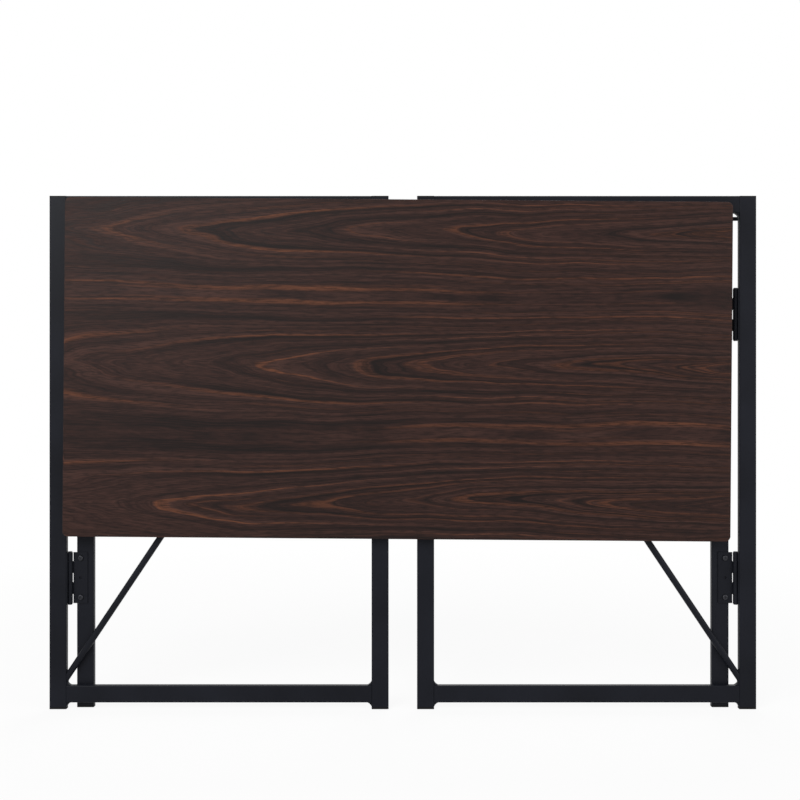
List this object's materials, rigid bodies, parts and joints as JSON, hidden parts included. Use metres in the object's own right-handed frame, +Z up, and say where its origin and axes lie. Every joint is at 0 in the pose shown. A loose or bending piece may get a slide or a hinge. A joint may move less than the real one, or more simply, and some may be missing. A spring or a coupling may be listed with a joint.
{
  "type": "folding desk",
  "caption": "Folding desk, folded flat: wood-look lift-off top hung in front of hinged gates of flat black tube on a slim back frame.",
  "frame": {"origin": "on the floor, under the middle of the folded desk's box", "axes": "+X along the desk, the top's face towards -Y, +Z up"},
  "size_m": [1.04, 0.055, 0.755],
  "materials": {
    "walnut_laminate": "matt dark red-brown wood grain",
    "walnut_band": "matt dark red-brown band",
    "black_tube": "satin powder coat",
    "black_hinge": "satin paint",
    "black_plastic": "matt moulded",
    "pin_steel": "darkened steel",
    "screw_steel": "darkened steel"
  },
  "bodies": {
    "back_frame": {"back_rail": "black_tube", "centre_rest": "black_plastic", "left_post": "black_tube", "left_post_foot": "black_plastic", "left_post_cap": "black_plastic", "left_upper_post_leaf": "black_hinge", "left_upper_hinge_pin": "pin_steel", "left_upper_hinge_screws": "screw_steel", "left_lower_post_leaf": "black_hinge", "left_lower_hinge_pin": "pin_steel", "left_lower_hinge_screws": "screw_steel", "right_post": "black_tube", "right_post_foot": "black_plastic", "right_post_cap": "black_plastic", "right_upper_post_leaf": "black_hinge", "right_upper_hinge_pin": "pin_steel", "right_upper_hinge_screws": "screw_steel", "right_lower_post_leaf": "black_hinge", "right_lower_hinge_pin": "pin_steel", "right_lower_hinge_screws": "screw_steel"},
    "left_gate": {"left_outer_leg": "black_tube", "left_outer_leg_foot": "black_plastic", "left_outer_leg_cap": "black_plastic", "left_inner_leg": "black_tube", "left_inner_leg_foot": "black_plastic", "left_inner_leg_cap": "black_plastic", "left_top_rail": "black_tube", "left_bottom_rail": "black_tube", "left_brace": "black_tube", "left_support_wire": "black_tube", "left_hanging_peg": "black_tube", "left_upper_gate_leaf": "black_hinge", "left_lower_gate_leaf": "black_hinge"},
    "right_gate": {"right_outer_leg": "black_tube", "right_outer_leg_foot": "black_plastic", "right_outer_leg_cap": "black_plastic", "right_inner_leg": "black_tube", "right_inner_leg_foot": "black_plastic", "right_inner_leg_cap": "black_plastic", "right_top_rail": "black_tube", "right_bottom_rail": "black_tube", "right_brace": "black_tube", "right_support_wire": "black_tube", "right_hanging_peg": "black_tube", "right_upper_gate_leaf": "black_hinge", "right_lower_gate_leaf": "black_hinge"},
    "desk_top": {"desk_top": "walnut_laminate", "upper_edge_band": "walnut_band", "lower_edge_band": "walnut_band", "left_edge_band": "walnut_band", "right_edge_band": "walnut_band"}
  },
  "joints": [
    {"name": "left_gate_swing", "type": "hinge", "parent": "back_frame", "child": "left_gate", "pos_m": [-0.4912, -0.0048, 0.3865], "axis": [0, 0, -1], "range_deg": [0, 90]},
    {"name": "right_gate_swing", "type": "hinge", "parent": "back_frame", "child": "right_gate", "pos_m": [0.4912, -0.0048, 0.3865], "axis": [0, 0, 1], "range_deg": [0, 90]},
    {"name": "desk_top_lift_off", "type": "slide", "parent": "back_frame", "child": "desk_top", "axis": [0, -1, 0], "range_m": [0, 1.1]}
  ],
  "couplings": [
    {"joint": "right_gate_swing", "follows": "left_gate_swing", "ratio": 1},
    {"joint": "desk_top_lift_off", "follows": "left_gate_swing", "m_per_rad": 0.7}
  ]
}
